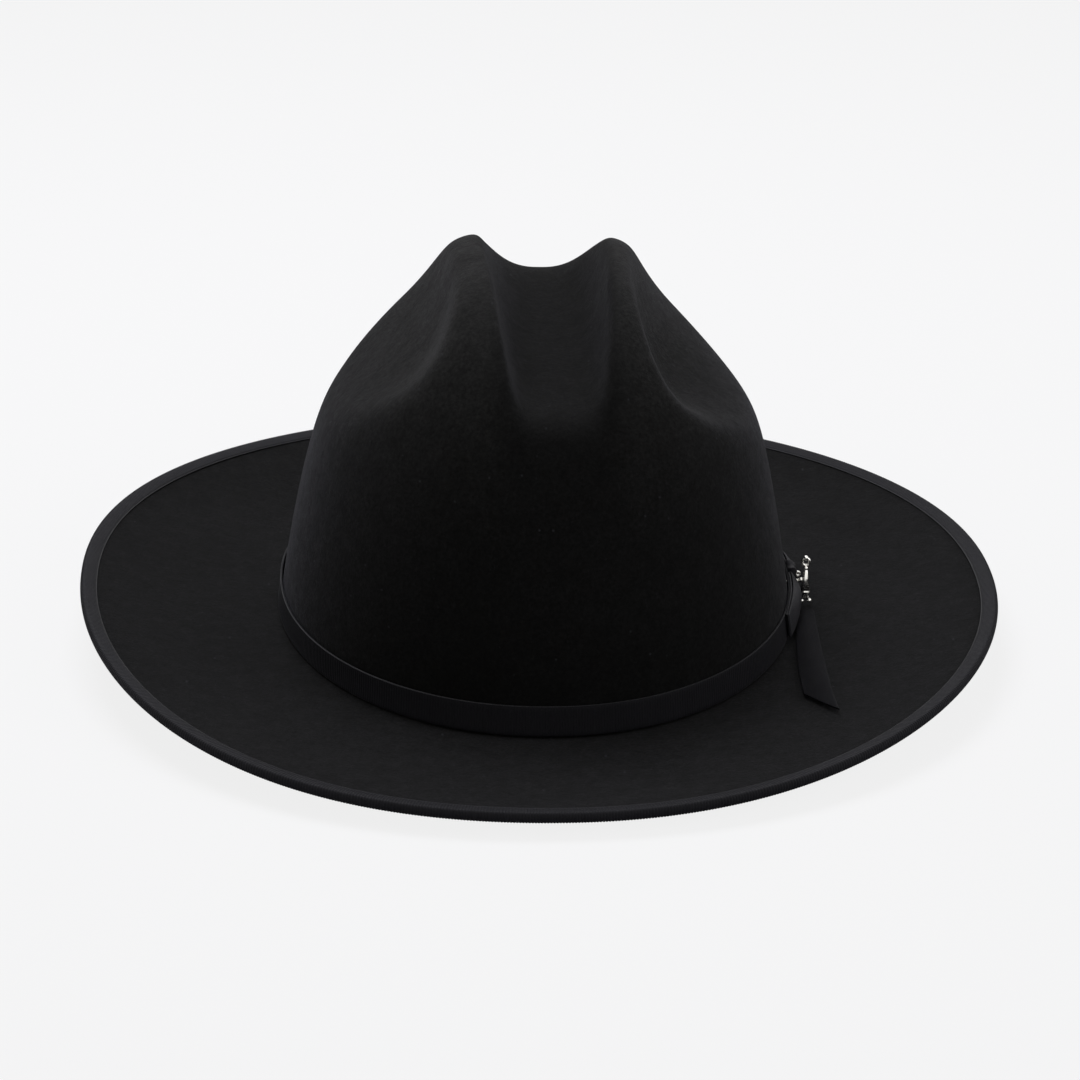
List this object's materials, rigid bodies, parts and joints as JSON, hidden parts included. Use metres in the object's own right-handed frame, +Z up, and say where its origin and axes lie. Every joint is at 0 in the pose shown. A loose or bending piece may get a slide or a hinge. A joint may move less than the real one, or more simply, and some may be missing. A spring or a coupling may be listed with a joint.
{
  "type": "felt cowboy hat",
  "caption": "Black felt cowboy hat with a creased cattleman crown, bound curled brim, thin ribbon band with a side bow and a small silver pin.",
  "frame": {"origin": "centre of the hat's outline in plan, on the plane that the brim rests on", "axes": "+Z up through the crown, -Y towards the front of the hat, +X towards the wearer's left, where the bow and pin are"},
  "size_m": [0.312, 0.3434, 0.1311],
  "materials": {
    "black_felt": "matt felt with a short nap",
    "black_grosgrain": "ribbed ribbon, slight sheen",
    "antique_silver": "polished silver with darkened hollows",
    "black_leather": "smooth roan leather",
    "reed_plastic": "plain",
    "black_tape": "woven cotton tape",
    "black_satin": "satin"
  },
  "bodies": {
    "hat": {"felt_body": "black_felt", "brim_binding": "black_grosgrain", "hat_band": "black_grosgrain", "bow_loop_front": "black_grosgrain", "bow_loop_rear": "black_grosgrain", "bow_knot": "black_grosgrain", "bow_tail": "black_grosgrain", "sweatband": "black_leather", "sweatband_reed": "reed_plastic", "reed_tape": "black_tape", "sweatband_bow": "black_satin", "lining_side": "black_satin", "lining_tip": "black_satin", "lining_piping": "black_satin"},
    "pin": {"pin_bar": "antique_silver", "pin_post": "antique_silver"},
    "clutch": {"pin_clutch": "antique_silver"}
  },
  "joints": [
    {"name": "pin_turn", "type": "hinge", "parent": "hat", "child": "pin", "pos_m": [0.08709, -0.006, 0.01468], "axis": [0.9904, 0, 0.1383], "range_deg": [-15, 20]},
    {"name": "clutch_slide", "type": "slide", "parent": "pin", "child": "clutch", "axis": [-0.9904, 0, -0.1383], "range_m": [0, 0.0008]}
  ]
}
